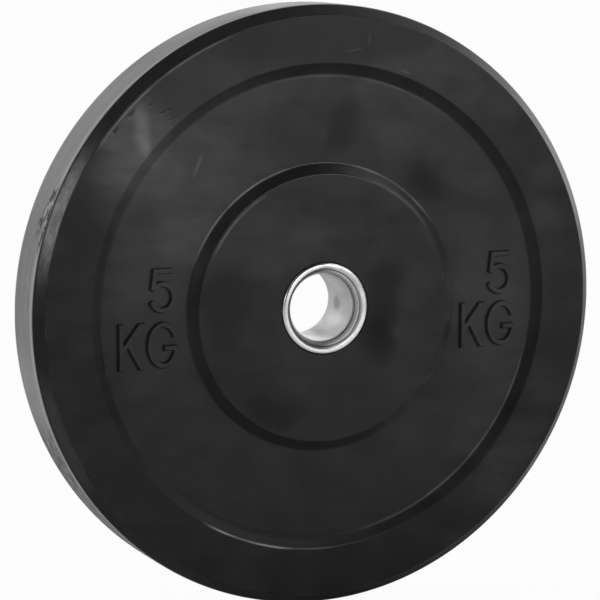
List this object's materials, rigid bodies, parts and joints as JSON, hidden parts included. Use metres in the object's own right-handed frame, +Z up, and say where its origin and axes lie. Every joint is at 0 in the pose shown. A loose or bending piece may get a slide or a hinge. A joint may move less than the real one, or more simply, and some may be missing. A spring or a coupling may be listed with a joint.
{
  "type": "bumper plate",
  "caption": "Moulded rubber bumper plate with raised rim and hub, recessed web and a steel insert whose bore slides on a 50 mm barbell end.",
  "frame": {"origin": "centre of the bore, on the plate's middle plane; the plate stands on its tread", "axes": "+Y along the bore's axis, towards the back; the front face looks along -Y; +Z up, with the weight marking upright"},
  "size_m": [0.45, 0.062, 0.45],
  "materials": {
    "rubber": "moulded, satin, faintly mottled",
    "lip_steel": "turned and polished",
    "sleeve_steel": "bored and lightly worn",
    "blank_steel": "plain rolled plate, hidden in the rubber"
  },
  "bodies": {
    "root": {"rubber_body": "rubber", "anchor_disc": "blank_steel", "bore_sleeve": "sleeve_steel", "front_lip_ring": "lip_steel", "rear_lip_ring": "lip_steel"}
  },
  "joints": []
}
